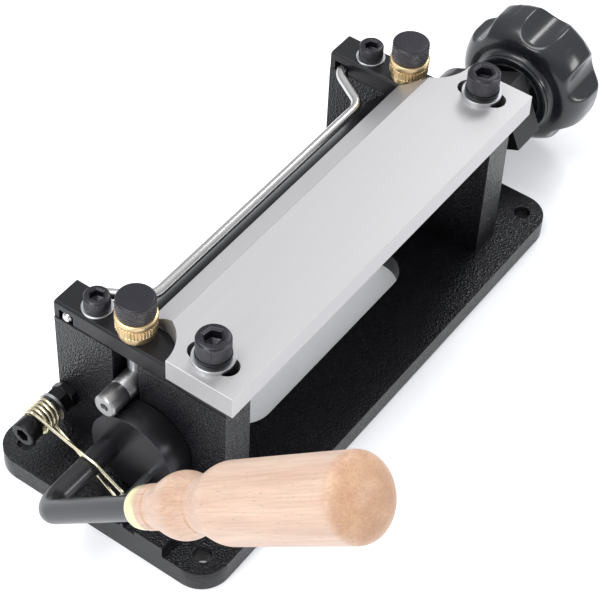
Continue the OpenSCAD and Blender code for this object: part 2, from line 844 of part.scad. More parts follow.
// Least gap of the wire to itself, measured between centre points a turn or so apart
function least(v, i = 0, m = 1e9) = i >= len(v) ? m : least(v, i + 1, min(m, v[i]));
spring_gap = least([for (i = [0 : len(spring_points) - 1])
    for (j = [i + 5 : 1 : len(spring_points) - 1]) norm(spring_points[i] - spring_points[j])]) - wire_d;
echo(spring_least_gap = spring_gap);

// Tube along a list of points, six sides, carried along without twist
function unit(v) = v / norm(v);
function tangent(p, i) = unit(p[min(i + 1, len(p) - 1)] - p[max(i - 1, 0)]);
function carried(p, i, n) = let (t = tangent(p, i)) unit(n - t * (n * t));
function frames(p, n, i = 0, out = []) = i >= len(p) ? out
    : let (m = carried(p, i, n)) frames(p, m, i + 1, concat(out, [m]));

module tube(p, d, sides, start) {
    n = len(p);
    f = frames(p, start);
    ring_points = [for (i = [0 : n - 1]) let (t = tangent(p, i), u = f[i], v = cross(t, u))
        for (k = [0 : sides - 1]) p[i] + d / 2 * (u * cos(k * 360 / sides) + v * sin(k * 360 / sides))];
    walls = [for (i = [0 : n - 2]) for (k = [0 : sides - 1])
        let (a = i * sides + k, b = i * sides + (k + 1) % sides)
        each [[a, a + sides, b], [b, a + sides, b + sides]]];
    caps = [for (k = [1 : sides - 2])
        each [[0, k, k + 1], [(n - 1) * sides, (n - 1) * sides + k + 1, (n - 1) * sides + k]]];
    polyhedron(ring_points, concat(walls, caps), convexity = 10);
}

module return_spring() {
    color("#d8c79a") tube(spring_points, wire_d, 6, [1, 0, 0]);
}

// ---------- choice of node ----------

base_plate();
upright_near();
upright_far();
base_screws();
bridge_bar_near();
bridge_bar_far();
bar_bolts();
bar_washers();
blade();
blade_bolts();
blade_lock_washers();
blade_washers();
guide_rod();
roller_shaft();
roller();
adjuster_stem_near();
adjuster_stem_far();
adjuster_cap_near();
adjuster_cap_far();
lock_nut_near();
lock_nut_far();
lever_rod();
ferrule();
handle();
cam_near();
cam_far();
set_screws();
spring_pin();
crank_block();
knob_stud();
hand_knob();
spring_bolt();
spring_nuts();
spring_washer();
return_spring();
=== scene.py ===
import bpy
import bmesh
import math
from mathutils import Matrix, Vector


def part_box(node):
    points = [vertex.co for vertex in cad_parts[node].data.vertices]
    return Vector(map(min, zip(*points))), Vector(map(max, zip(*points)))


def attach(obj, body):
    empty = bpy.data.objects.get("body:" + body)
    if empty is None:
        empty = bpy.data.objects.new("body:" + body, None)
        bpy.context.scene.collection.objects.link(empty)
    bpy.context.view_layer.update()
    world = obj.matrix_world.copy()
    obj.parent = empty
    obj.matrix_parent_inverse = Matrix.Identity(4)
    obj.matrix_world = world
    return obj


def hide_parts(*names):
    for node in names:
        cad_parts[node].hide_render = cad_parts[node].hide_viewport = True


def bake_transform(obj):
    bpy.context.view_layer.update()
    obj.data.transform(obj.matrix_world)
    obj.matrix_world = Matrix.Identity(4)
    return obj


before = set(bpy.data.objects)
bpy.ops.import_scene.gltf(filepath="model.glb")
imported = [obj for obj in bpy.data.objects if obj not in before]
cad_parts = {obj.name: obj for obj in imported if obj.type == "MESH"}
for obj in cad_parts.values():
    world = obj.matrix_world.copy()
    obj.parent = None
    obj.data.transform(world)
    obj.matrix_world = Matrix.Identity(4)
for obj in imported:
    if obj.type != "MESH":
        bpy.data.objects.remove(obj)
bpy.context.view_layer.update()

# ---- Camera, floor and light ----
# The camera stands above the lever end and looks along the blade. The floor is a pale table top,
# lit by a big overhead panel, two smaller panels, a far window and a bright room.
mm = 0.001
camera_place = (-0.4436, -0.3004, 0.61035)
heading, pitch, roll = math.radians(33.66), math.radians(47.68), math.radians(3.0)
forward = Vector((math.cos(pitch) * math.cos(heading), math.cos(pitch) * math.sin(heading),
                  -math.sin(pitch)))
level_right = Vector((math.sin(heading), -math.cos(heading), 0))
level_up = level_right.cross(forward)
right = level_right * math.cos(roll) + level_up * math.sin(roll)
up = -level_right * math.sin(roll) + level_up * math.cos(roll)
camera_data = bpy.data.cameras.new("camera")
camera = bpy.data.objects.new("camera", camera_data)
bpy.context.scene.collection.objects.link(camera)
camera_data.lens = 120.3
camera_data.sensor_width = 36
camera_data.clip_start = 0.05
camera.matrix_world = Matrix((
    (right.x, up.x, -forward.x, camera_place[0]),
    (right.y, up.y, -forward.y, camera_place[1]),
    (right.z, up.z, -forward.z, camera_place[2]),
    (0, 0, 0, 1)))
bpy.context.scene.camera = camera
bpy.context.scene.view_settings.view_transform = "Standard"


def place_mesh(name, mesh_maker, matrix=None):
    """A new mesh object whose faces are made by mesh_maker on an empty bmesh."""
    mesh = bpy.data.meshes.new(name)
    bm = bmesh.new()
    mesh_maker(bm)
    bmesh.ops.recalc_face_normals(bm, faces=bm.faces)
    bm.to_mesh(mesh)
    bm.free()
    piece = bpy.data.objects.new(name, mesh)
    bpy.context.scene.collection.objects.link(piece)
    if matrix is not None:
        piece.matrix_world = matrix
    return piece


def table_top(bm):
    bmesh.ops.create_grid(bm, x_segments=2, y_segments=2, size=6.0)


floor = place_mesh("table_top", table_top)
floor_paint = bpy.data.materials.new("table_white")
floor_paint.use_nodes = True
floor_shader = floor_paint.node_tree.nodes["Principled BSDF"]
floor_shader.inputs["Base Color"].default_value = (0.88, 0.885, 0.91, 1)
floor_shader.inputs["Emission Color"].default_value = (0.97, 0.98, 1.0, 1)
floor_shader.inputs["Emission Strength"].default_value = 0.22
floor_shader.inputs["Roughness"].default_value = 0.55
floor.data.materials.append(floor_paint)

room = bpy.data.worlds.new("room")
room.use_nodes = True
room_nodes, room_wires = room.node_tree.nodes, room.node_tree.links
sky = room_nodes.new("ShaderNodeTexCoord")
sky_height = room_nodes.new("ShaderNodeSeparateXYZ")
sky_fade = room_nodes.new("ShaderNodeMapRange")
sky_fade.inputs["From Min"].default_value = -0.1
sky_fade.inputs["From Max"].default_value = 0.9
sky_fade.inputs["To Min"].default_value = 0.32
sky_fade.inputs["To Max"].default_value = 0.95
room_wires.new(sky.outputs["Generated"], sky_height.inputs[0])
room_wires.new(sky_height.outputs["Z"], sky_fade.inputs["Value"])
room_wires.new(sky_fade.outputs["Result"], room_nodes["Background"].inputs["Strength"])
room_nodes["Background"].inputs["Color"].default_value = (0.96, 0.975, 1.0, 1)
bpy.context.scene.world = room


def light_panel(name, place, target, width, height, power):
    """A soft rectangular light that faces its target."""
    lamp = bpy.data.lights.new(name, "AREA")
    lamp.shape = "RECTANGLE"
    lamp.size, lamp.size_y, lamp.energy = width, height, power
    holder = bpy.data.objects.new(name, lamp)
    bpy.context.scene.collection.objects.link(holder)
    holder.location = place
    look = Vector(target) - Vector(place)
    holder.rotation_euler = look.to_track_quat("-Z", "Y").to_euler()


light_panel("overhead_panel", (-0.35, 0.35, 1.2), (0, 0, 0), 0.8, 0.6, 8)
light_panel("lever_side_panel", (-1.2, 0.1, 0.6), (0, 0, 0.05), 0.35, 0.5, 6)
light_panel("front_panel", (0.5, -1.2, 0.6), (0, 0, 0.05), 0.7, 0.25, 5)
light_panel("far_window", (0.9, 0.1, 1.0), (0.15, 0, 0.05), 0.25, 0.35, 3)

# ---- Base plate ----
# Cast and machined iron plate with a rounded window, four bench holes and a small raised pad.
# It carries a black powder coat with a fine wrinkle that shows as sparkle on the flat top.


def finish_of(name, colour, metal, rough, grain=(60, 60, 60), stain=0.25, rough_spread=0.08,
              bump=0.0, bump_scale=900.0, bump_kind="noise", bump_depth=0.0003,
              edge=None, edge_width=0.0006, edge_level=0.7, coat=0.0, coat_rough=0.1,
              aniso=0.0, specular=0.5):
    """A procedural finish: colour that drifts, uneven gloss, small relief and, with edge, a painted
    highlight of that colour along the edges.
    """
    mat = bpy.data.materials.new(name)
    mat.use_nodes = True
    tree = mat.node_tree
    shader = tree.nodes["Principled BSDF"]
    make, wire = tree.nodes.new, tree.links.new
    shader.inputs["Metallic"].default_value = metal
    shader.inputs["Coat Weight"].default_value = coat
    shader.inputs["Coat Roughness"].default_value = coat_rough
    shader.inputs["Anisotropic"].default_value = aniso
    shader.inputs["Specular IOR Level"].default_value = specular
    where = make("ShaderNodeTexCoord")
    stretch = make("ShaderNodeMapping")
    stretch.inputs["Scale"].default_value = grain
    wire(where.outputs["Object"], stretch.inputs["Vector"])
    drift = make("ShaderNodeTexNoise")
    drift.inputs["Scale"].default_value = 1.0
    drift.inputs["Detail"].default_value = 6.0
    drift.inputs["Roughness"].default_value = 0.6
    wire(stretch.outputs["Vector"], drift.inputs["Vector"])
    tone = make("ShaderNodeMix")
    tone.data_type = "RGBA"
    tone.inputs[6].default_value = tuple(c * (1 - stain) for c in colour) + (1,)
    tone.inputs[7].default_value = tuple(min(1, c * (1 + stain)) for c in colour) + (1,)
    wire(drift.outputs["Fac"], tone.inputs[0])
    last = tone.outputs[2]
    # Painted highlight: the lighter edge colour is mixed in along rounded edges, in noisy patches.
    if edge:
        soft = make("ShaderNodeBevel")
        soft.samples = 4
        soft.inputs["Radius"].default_value = edge_width
        flat = make("ShaderNodeNewGeometry")
        turn = make("ShaderNodeVectorMath")
        turn.operation = "DOT_PRODUCT"
        wire(soft.outputs["Normal"], turn.inputs[0])
        wire(flat.outputs["Normal"], turn.inputs[1])
        edge_highlight_mask = make("ShaderNodeMapRange")
        edge_highlight_mask.inputs["From Min"].default_value = 0.995
        edge_highlight_mask.inputs["From Max"].default_value = 0.90
        edge_highlight_mask.inputs["To Max"].default_value = edge_level
        wire(turn.outputs["Value"], edge_highlight_mask.inputs["Value"])
        patch = make("ShaderNodeTexNoise")
        patch.inputs["Scale"].default_value = 260.0
        patch.inputs["Detail"].default_value = 4.0
        wire(where.outputs["Object"], patch.inputs["Vector"])
        patchy_edge_highlight = make("ShaderNodeMath")
        patchy_edge_highlight.operation = "MULTIPLY"
        wire(edge_highlight_mask.outputs["Result"], patchy_edge_highlight.inputs[0])
        wire(patch.outputs["Fac"], patchy_edge_highlight.inputs[1])
        painted_edge_highlight = make("ShaderNodeMix")
        painted_edge_highlight.data_type = "RGBA"
        painted_edge_highlight.inputs[7].default_value = tuple(edge) + (1,)
        wire(patchy_edge_highlight.outputs[0], painted_edge_highlight.inputs[0])
        wire(last, painted_edge_highlight.inputs[6])
        last = painted_edge_highlight.outputs[2]
    wire(last, shader.inputs["Base Color"])
    gloss = make("ShaderNodeMapRange")
    gloss.inputs["To Min"].default_value = max(0.02, rough - rough_spread)
    gloss.inputs["To Max"].default_value = min(1.0, rough + rough_spread)
    wire(drift.outputs["Fac"], gloss.inputs["Value"])
    wire(gloss.outputs["Result"], shader.inputs["Roughness"])
    if bump:
        if bump_kind == "wrinkle":
            relief = make("ShaderNodeTexVoronoi")
            relief.feature = "SMOOTH_F1"
        else:
            relief = make("ShaderNodeTexNoise")
            relief.inputs["Detail"].default_value = 3.0
        relief.inputs["Scale"].default_value = bump_scale
        run = stretch.outputs["Vector"] if bump_kind == "grain" else where.outputs["Object"]
        wire(run, relief.inputs["Vector"])
        lift = make("ShaderNodeBump")
        lift.inputs["Strength"].default_value = bump
        lift.inputs["Distance"].default_value = bump_depth
        wire(relief.outputs["Distance" if bump_kind == "wrinkle" else "Fac"], lift.inputs["Height"])
        wire(lift.outputs["Normal"], shader.inputs["Normal"])
    return mat


def dress(node, mat, round_edge=0.0, steps=2, angle=35):
    """Gives a CAD node its finish and, with round_edge, a small rounded edge."""
    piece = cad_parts[node]
    for slot in piece.material_slots:
        slot.material = mat
    if not piece.material_slots:
        piece.data.materials.append(mat)
    if round_edge:
        weld = piece.modifiers.new("weld", "WELD")
        weld.merge_threshold = 1e-6
        flat = piece.modifiers.new("flat", "DECIMATE")
        flat.decimate_type = "DISSOLVE"
        flat.angle_limit = math.radians(0.5)
        bevel = piece.modifiers.new("edge", "BEVEL")
        bevel.width = round_edge
        bevel.segments = steps
        bevel.limit_method = "ANGLE"
        bevel.angle_limit = math.radians(angle)
        bevel.use_clamp_overlap = True


# edge: colour of the painted highlight along the plate's edges.
wrinkle_black = finish_of(
    "wrinkle_black_powder_coat", (0.0062, 0.0064, 0.0080), 0.0, 0.25, grain=(90, 90, 90),
    bump=0.9, bump_scale=1650.0, bump_kind="wrinkle", bump_depth=0.00034,
    edge=(0.030, 0.031, 0.036), edge_width=0.0012, specular=0.34)
dress("base_plate", wrinkle_black, 0.0007)

# ---- Uprights and the screws below them ----
# Two thick steel end walls with a slot for the roller's journal, open at the top.
# They have the plate's black powder coat and are held by countersunk screws from below.
# edge: colour of the painted highlight along the walls' edges.
wall_black = finish_of(
    "wrinkle_black_on_walls", (0.0066, 0.0068, 0.0088), 0.0, 0.25, grain=(80, 80, 80),
    bump=0.9, bump_scale=1500.0, bump_kind="wrinkle", bump_depth=0.00040,
    edge=(0.05, 0.05, 0.058), edge_width=0.0010, specular=0.36)
for node in ("upright_near", "upright_far"):
    dress(node, wall_black, 0.0006)
# edge: colour of the painted highlight along the screws' edges.
black_oxide = finish_of(
    "black_oxide_screws", (0.022, 0.022, 0.024), 0.85, 0.36, grain=(400, 400, 400),
    bump=0.15, bump_scale=2500.0, bump_depth=0.0001,
    edge=(0.11, 0.11, 0.115), edge_width=0.0004)
dress("base_screws", black_oxide)

# ---- Bridge bars ----
# Two flat steel bars, ground and blackened, that lie on the uprights and carry the blade. A small
# screw holds each at the back and the blade's at the front; a notch below takes the guide rod.
# edge: colour of the painted highlight along the bars' edges.
bar_black = finish_of(
    "ground_black_bars", (0.012, 0.012, 0.0145), 0.25, 0.3, grain=(500, 60, 60),
    bump=0.12, bump_scale=1.0, bump_kind="grain", bump_depth=0.0001,
    edge=(0.12, 0.12, 0.13), edge_width=0.0006, specular=0.4)
for node in ("bridge_bar_near", "bridge_bar_far"):
    dress(node, bar_black, 0.0004)

# ---- Socket screws and washers ----
# Standard black socket screws hold the bars and clamp the blade. Their heads have a fine straight
# knurl and a hexagon socket. Plain washers are zinc plated, the spring washers are black.


def rings_of(bm, rings, sides, loop=False):
    """Faces between rings of points, closed at both ends or, with loop, from the last ring to the
    first. Each ring is (height, radius), and the radius may be a rule of angle and height."""
    rows = []
    for high, radius in rings:
        row = []
        for k in range(sides):
            a = 2 * math.pi * k / sides
            r = radius(a, high) if callable(radius) else radius
            row.append(bm.verts.new((r * math.cos(a), r * math.sin(a), high)))
        rows.append(row)
    pairs = list(zip(rows, rows[1:])) + ([(rows[-1], rows[0])] if loop else [])
    for low, top in pairs:
        for k in range(sides):
            n = (k + 1) % sides
            bm.faces.new((low[k], low[n], top[n], top[k]))
    if not loop:
        bm.faces.new(list(reversed(rows[0])))
        bm.faces.new(rows[-1])


def smooth_with_edges(piece, angle=32):
    """Smooth shading that keeps every edge sharper than the angle."""
    bm = bmesh.new()
    bm.from_mesh(piece.data)
    for face in bm.faces:
        face.smooth = True
    for edge in bm.edges:
        sharp = len(edge.link_faces) == 2 and edge.calc_face_angle(0) >= math.radians(angle)
        edge.smooth = not sharp
    bm.to_mesh(piece.data)
    bm.free()
    return piece


def along(place, axis, side=(1, 0, 0)):
    """The place of a piece that is made along its own Z, turned so that Z follows the axis."""
    z = Vector(axis).normalized()
    x = (Vector(side) - z * z.dot(Vector(side))).normalized()
    y = z.cross(x)
    return Matrix(((x.x, y.x, z.x, place[0]),
                   (x.y, y.y, z.y, place[1]),
                   (x.z, y.z, z.z, place[2]),
                   (0, 0, 0, 1)))


def socket_head(name, seat, thread, head, reach, node, turn):
    """An upright socket screw on its seat: knurled head as high as the thread is thick, hexagon
    socket with a bevelled rim, and a shank with a thread."""
    def make(bm):
        teeth, high = round(head / mm * 6), thread
        r, edge = head / 2, head * 0.045
        hexagon = head * 0.243

        def side(a, z):
            return r - 0.012 * head * (0.5 + 0.5 * math.cos(teeth * a))

        def socket(grow):
            off_flat = lambda a: (a + turn) % (math.pi / 3) - math.pi / 6
            return lambda a, z: (hexagon + grow) / math.cos(off_flat(a))
        thread_pitch = 0.16 * thread
        turns = [(-reach + thread_pitch * k / 2, thread / 2 * (0.86 if k % 2 else 1.0))
                 for k in range(1, int(2 * reach / thread_pitch))]
        shank = [(-reach, thread * 0.38)] + turns
        shank += [(-0.02 * mm, thread * 0.47), (0, thread * 0.47)]
        outside = [(0, r - edge * 0.6), (edge * 0.6, r - edge * 0.15), (edge * 1.2, side),
                   (high - edge * 1.6, side), (high - edge * 1.2, r - edge * 0.5),
                   (high - edge * 0.5, r - edge), (high - edge * 0.15, r - edge * 1.9),
                   (high, r - edge * 3)]
        inside = [(high, socket(edge * 1.3)), (high - edge * 1.3, socket(0)),
                  (high * 0.42, socket(0)), (high * 0.30, hexagon * 0.3)]
        rings_of(bm, shank + outside + inside, teeth * 4)
    screw = place_mesh(name, make, along(seat, (0, 0, 1)))
    screw.data.materials.append(screw_black)
    smooth_with_edges(screw, 28)
    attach(screw, "frame")
    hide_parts(node)


# edge: colour of the painted highlight along the heads' edges.
screw_black = finish_of(
    "black_oxide_heads", (0.021, 0.021, 0.027), 0.55, 0.34, grain=(500, 500, 500),
    edge=(0.20, 0.20, 0.22), edge_width=0.00045, edge_level=0.9)
screw_x, bar_screw_y, blade_screw_y = 86.2 * mm, 24.2 * mm, -28 * mm
m6_thread, m6_head, m8_thread, m8_head = 6 * mm, 10 * mm, 8 * mm, 13 * mm
bar_low, bar_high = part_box("bar_bolts")
blade_low, blade_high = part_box("blade_bolts")
for side, x in (("near", -screw_x), ("far", screw_x)):
    socket_head("bar_screw_" + side, (x, bar_screw_y, bar_high.z - m6_thread), m6_thread, m6_head,
                bar_high.z - bar_low.z - m6_thread, "bar_bolts", 0.3)
    socket_head("blade_screw_" + side, (x, blade_screw_y, blade_high.z - m8_thread), m8_thread,
                m8_head, blade_high.z - blade_low.z - m8_thread, "blade_bolts", 0.15)
for node in ("set_screws", "blade_lock_washers"):
    dress(node, black_oxide, 0.0002)
# edge: colour of the painted highlight along the washers' edges.
zinc = finish_of(
    "zinc_plate", (0.55, 0.56, 0.58), 1.0, 0.32, grain=(300, 300, 300), stain=0.12,
    edge=(0.8, 0.8, 0.82), edge_width=0.0003)
for node in ("bar_washers", "blade_washers"):
    dress(node, zinc, 0.00015)

# ---- Blade ----
# Thick tool steel plate, ground along its length, with a long bevel at the cutting edge
# and a quarter-round notch at both back corners. Two slots take its clamp screws.
# edge: colour of the painted highlight along the blade's edges.
blade_steel = finish_of(
    "ground_blade_steel", (0.505, 0.497, 0.500), 0.85, 0.46, grain=(14, 900, 900), stain=0.05,
    rough_spread=0.05, bump=0.08, bump_scale=1.0, bump_kind="grain", bump_depth=0.0001,
    edge=(0.72, 0.72, 0.73), edge_width=0.0005)
dress("blade", blade_steel, 0.0002, angle=20)

# ---- Guide rod ----
# Bright drawn steel wire, bent twice at each end. Its ends lie in notches under the bars, so it can
# swing up and down in front of the cutting edge, where it keeps the leather on the roller.
bright_wire = finish_of(
    "bright_drawn_steel", (0.60, 0.595, 0.58), 1.0, 0.22, grain=(40, 700, 700), stain=0.12)


def sweep(bm, path, radius, sides):
    """A round bar or wire along a path of points, without twist, with rounded ends."""
    path = [Vector(p) for p in path]
    rows, side = [], None
    for i, p in enumerate(path):
        way = (path[min(i + 1, len(path) - 1)] - path[max(i - 1, 0)]).normalized()
        side = way.orthogonal() if side is None else side - way * way.dot(side)
        side = side.normalized()
        other = way.cross(side)
        ends = [(0.0, 1.0)]
        if i == 0:
            ends = [(0.0, 0.7), (0.3 * radius, 1.0)]
        if i == len(path) - 1:
            ends = [(-0.3 * radius, 1.0), (0.0, 0.7)]
        for back, share in ends:
            row = []
            for k in range(sides):
                a = 2 * math.pi * k / sides
                spoke = side * math.cos(a) + other * math.sin(a)
                row.append(bm.verts.new(p + way * back + spoke * radius * share))
            rows.append(row)
    for low, top in zip(rows, rows[1:]):
        for k in range(sides):
            n = (k + 1) % sides
            bm.faces.new((low[k], low[n], top[n], top[k]))
    bm.faces.new(list(reversed(rows[0])))
    bm.faces.new(rows[-1])


def guide_rod_shape(bm):
    rod_radius, rod_sides, bend_steps = 2.1, 24, 10
    end_x, bend_x, crank_x, end_y, reach, high, bend = 93.2, 77.0, 66.0, 33.5, 18.2, 70.35, 9.0
    turn = math.atan2(reach, bend_x - crank_x)
    length = bend * math.tan(turn / 2)
    half = [(end_x, end_y)]
    for k in range(bend_steps + 1):
        a = math.pi / 2 + turn * k / bend_steps
        half.append((bend_x + length + bend * math.cos(a), end_y + bend * (math.sin(a) - 1)))
    for k in range(bend_steps + 1):
        a = 1.5 * math.pi + turn * (1 - k / bend_steps)
        half.append((crank_x - length + bend * math.cos(a),
                     end_y - reach + bend * (math.sin(a) + 1)))
    whole = half + [(-x, y) for x, y in reversed(half)]
    sweep(bm, [(x * mm, y * mm, high * mm) for x, y in whole], rod_radius * mm, rod_sides)


rod = smooth_with_edges(place_mesh("bent_guide_rod", guide_rod_shape))
rod.data.materials.append(bright_wire)
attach(rod, "guide")
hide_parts("guide_rod")

# ---- Roller and its shaft ----
# A blackened steel roller turns on a bright shaft, whose ends lie in the slots of the uprights.
# Each end has a centre hole and a turned groove.
# edge: colour of the painted highlight along the shaft's edges.
turned_steel = finish_of(
    "turned_shaft_steel", (0.40, 0.40, 0.405), 1.0, 0.36, grain=(900, 40, 40), stain=0.25,
    edge=(0.7, 0.7, 0.7), edge_width=0.0004)
dress("roller_shaft", turned_steel, 0.0002)
roller_black = finish_of(
    "blackened_roller", (0.03, 0.03, 0.032), 0.8, 0.34, grain=(900, 30, 30), stain=0.3)
dress("roller", roller_black, 0.0003)

# ---- Thickness adjusters ----
# A threaded stem presses on each journal. A black cap with a diamond knurl turns it,
# and a turned brass nut with a straight knurl between two smooth bands locks it on the bar.
dress("adjuster_stem_near", zinc)
dress("adjuster_stem_far", zinc)
# edge: colour of the painted highlight along the cap's knurl and rims.
cap_black = finish_of(
    "blackened_cap", (0.021, 0.021, 0.028), 0.45, 0.36, grain=(200, 200, 200),
    edge=(0.30, 0.28, 0.27), edge_width=0.0004, edge_level=1.0)
# edge: colour of the painted highlight along the nut's edges.
brass = finish_of(
    "turned_brass", (0.74, 0.56, 0.32), 0.9, 0.34, grain=(40, 40, 500), stain=0.06,
    edge=(0.95, 0.82, 0.58), edge_width=0.0003, edge_level=0.5)


def saw(t):
    """0 in the middle of a tooth and 1 in the groove."""
    return abs(2 * (t - math.floor(t)) - 1)


def in_metres(rings):
    """Rings written in mm; a radius that is a rule already gives metres."""
    return [(z * mm, r if callable(r) else r * mm) for z, r in rings]


def cap_shape(bm):
    r, high, teeth, groove = 7.5, 7.3, 36, 0.42
    row = 2 * math.pi * r * mm / teeth

    def diamond(a, z):
        u, v = teeth * a / (2 * math.pi) + z / row, teeth * a / (2 * math.pi) - z / row
        return (r - groove * max(saw(u), saw(v)) ** 2) * mm
    rings = [(0, r - 0.9), (0.25, r - 0.6), (0.5, r - 0.25)]
    rings += [(0.6 + k * 0.155, diamond) for k in range(40)]
    rings += [(high - 0.45, r - 0.25), (high - 0.2, r - 0.55), (high - 0.03, r - 0.85),
              (high, r - 1.1), (high, r * 0.6), (high, r * 0.2)]
    rings_of(bm, in_metres(rings), teeth * 8)


def nut_shape(bm):
    teeth, high, bore = 40, 10.5, 4.2

    def knurl(a, z):
        return (7.8 - 0.45 * min(1, 1.5 * saw(teeth * a / (2 * math.pi)))) * mm
    foot_band = [(0, 6.6), (0.25, 6.85), (0.5, 6.95), (2.9, 6.95), (3.1, 6.75), (3.4, 6.75)]
    knurled_band = [(3.6, 7.2), (3.8, knurl), (7.0, knurl), (7.2, 7.2), (7.3, 6.9), (7.6, 6.9)]
    top_band = [(7.8, 7.4), (8.0, 7.8), (8.3, 7.95), (10.0, 7.95), (10.3, 7.8), (high, 7.4)]
    rings = [(high, bore), (0, bore)] + foot_band + knurled_band + top_band
    rings_of(bm, in_metres(rings), teeth * 6, loop=True)


def seat_of(node):
    """The middle of a node's underside, as a place."""
    low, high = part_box(node)
    return Matrix.Translation(((low.x + high.x) / 2, (low.y + high.y) / 2, low.z))


for side in ("near", "far"):
    cap = place_mesh("knurled_cap_" + side, cap_shape, seat_of("adjuster_cap_" + side))
    smooth_with_edges(cap, 40).data.materials.append(cap_black)
    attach(cap, "adjuster_cap_body_" + side)
    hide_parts("adjuster_cap_" + side)
    nut = place_mesh("brass_nut_" + side, nut_shape, seat_of("lock_nut_" + side))
    smooth_with_edges(nut, 30).data.materials.append(brass)
    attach(nut, "lock_nut_body_" + side)
    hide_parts("lock_nut_" + side)

# ---- Lever rod and ferrule ----
# Black painted round steel bar, bent once. It is the shaft of both cams as well as the lever.
# A short spun ferrule of pale brass closes the handle's end on it.
rod_black = finish_of(
    "smooth_black_rod", (0.011, 0.011, 0.014), 0.0, 0.34, grain=(60, 60, 60), coat=0.25,
    coat_rough=0.2, bump=0.05, bump_scale=500.0)
shaft_y, shaft_z, lever_x, lever_rise = 6.0 * mm, 29.0 * mm, -142.0 * mm, math.radians(41.5)
handle_way = Vector((0, -math.cos(lever_rise), math.sin(lever_rise)))
lever_corner = Vector((lever_x, shaft_y, shaft_z))


def lever_shape(bm):
    lever_radius, bend, bend_steps, tip_at = 4.5 * mm, 10 * mm, 16, 90
    path = [(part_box("lever_rod")[1].x, shaft_y, shaft_z), (lever_x + bend, shaft_y, shaft_z)]
    centre = lever_corner + Vector((bend, 0, 0)) + handle_way * bend
    for k in range(1, bend_steps + 1):
        a = math.pi / 2 * k / bend_steps
        path.append(centre - handle_way * bend * math.cos(a) - Vector((bend * math.sin(a), 0, 0)))
    path.append(lever_corner + handle_way * tip_at * mm)
    sweep(bm, path, lever_radius, 40)


lever = smooth_with_edges(place_mesh("bent_lever_bar", lever_shape))
lever.data.materials.append(rod_black)
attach(lever, "lever")
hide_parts("lever_rod")

pale_brass = finish_of(
    "pale_brass_ferrule", (0.74, 0.68, 0.42), 0.55, 0.36, grain=(100, 100, 100), stain=0.10)
ferrule_at = 60.7 * mm


def ferrule_shape(bm):
    rings = [(7.75, 4.55), (0, 4.55), (0, 4.9), (0.15, 5.5), (0.6, 6.2), (1.3, 6.8), (2.2, 7.2),
             (3.4, 7.45), (4.6, 7.55), (7.3, 7.6), (7.65, 7.5), (7.75, 7.2)]
    rings_of(bm, in_metres(rings), 64, loop=True)


ferrule = place_mesh("spun_ferrule", ferrule_shape,
                     along(lever_corner + handle_way * ferrule_at, handle_way))
smooth_with_edges(ferrule, 40)
ferrule.data.materials.append(pale_brass)
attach(ferrule, "lever")
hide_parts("ferrule")

# ---- Wooden handle ----
# Turned beech with a bead at the ferrule, a waist and a domed end, sanded and lightly varnished.
# The grain runs along the handle, with the short dark flecks that beech shows, and the end grain of
# the dome is darker.
beech = bpy.data.materials.new("turned_beech")
beech.use_nodes = True
wood, wood_wires = beech.node_tree.nodes, beech.node_tree.links
wood_shader = wood["Principled BSDF"]
wood_shader.inputs["Coat Weight"].default_value = 0.22
wood_shader.inputs["Coat Roughness"].default_value = 0.22
wood_where = wood.new("ShaderNodeTexCoord")
wood_axis = wood.new("ShaderNodeMapping")
wood_axis.inputs["Rotation"].default_value = (lever_rise - math.pi / 2, 0, 0)
wood_wires.new(wood_where.outputs["Object"], wood_axis.inputs["Vector"])


def wood_noise(scale, detail, rough=0.6):
    """Noise stretched along the handle."""
    stretch = wood.new("ShaderNodeMapping")
    stretch.inputs["Scale"].default_value = scale
    wood_wires.new(wood_axis.outputs["Vector"], stretch.inputs["Vector"])
    noise = wood.new("ShaderNodeTexNoise")
    noise.inputs["Scale"].default_value = 1.0
    noise.inputs["Detail"].default_value = detail
    noise.inputs["Roughness"].default_value = rough
    wood_wires.new(stretch.outputs["Vector"], noise.inputs["Vector"])
    return noise.outputs["Fac"]


def wood_range(source, from_low, from_high, to_low, to_high):
    """The source's values, spread from one range to another."""
    spread = wood.new("ShaderNodeMapRange")
    for socket, value in (("From Min", from_low), ("From Max", from_high),
                          ("To Min", to_low), ("To Max", to_high)):
        spread.inputs[socket].default_value = value
    wood_wires.new(source, spread.inputs["Value"])
    return spread.outputs["Result"]


broad = wood.new("ShaderNodeValToRGB")
broad.color_ramp.elements[0].position, broad.color_ramp.elements[1].position = 0.3, 0.72
broad.color_ramp.elements[0].color = (0.50, 0.325, 0.240, 1)
broad.color_ramp.elements[1].color = (0.63, 0.465, 0.355, 1)
wood_wires.new(wood_noise((160, 160, 14), 5), broad.inputs["Fac"])
fine = wood.new("ShaderNodeMath")
fine.operation = "MULTIPLY"
wood_wires.new(wood_range(wood_noise((1400, 1400, 40), 3), 0.35, 0.65, 0.90, 1.06), fine.inputs[0])
wood_wires.new(wood_range(wood_noise((1700, 1700, 330), 2, 0.4), 0.64, 0.74, 1.0, 0.80),
               fine.inputs[1])
end_facing = wood.new("ShaderNodeVectorMath")
end_facing.operation = "DOT_PRODUCT"
end_facing.inputs[1].default_value = handle_way
wood_wires.new(wood_where.outputs["Normal"], end_facing.inputs[0])
end_grain = wood.new("ShaderNodeMix")
end_grain.data_type = "RGBA"
end_grain.blend_type = "MULTIPLY"
end_grain.inputs[7].default_value = (0.93, 0.77, 0.60, 1)
wood_wires.new(wood_range(end_facing.outputs["Value"], 0.02, 1.0, 0.0, 1.0), end_grain.inputs[0])
wood_wires.new(broad.outputs["Color"], end_grain.inputs[6])
tinted = wood.new("ShaderNodeVectorMath")
tinted.operation = "SCALE"
wood_wires.new(end_grain.outputs[2], tinted.inputs[0])
wood_wires.new(fine.outputs[0], tinted.inputs["Scale"])
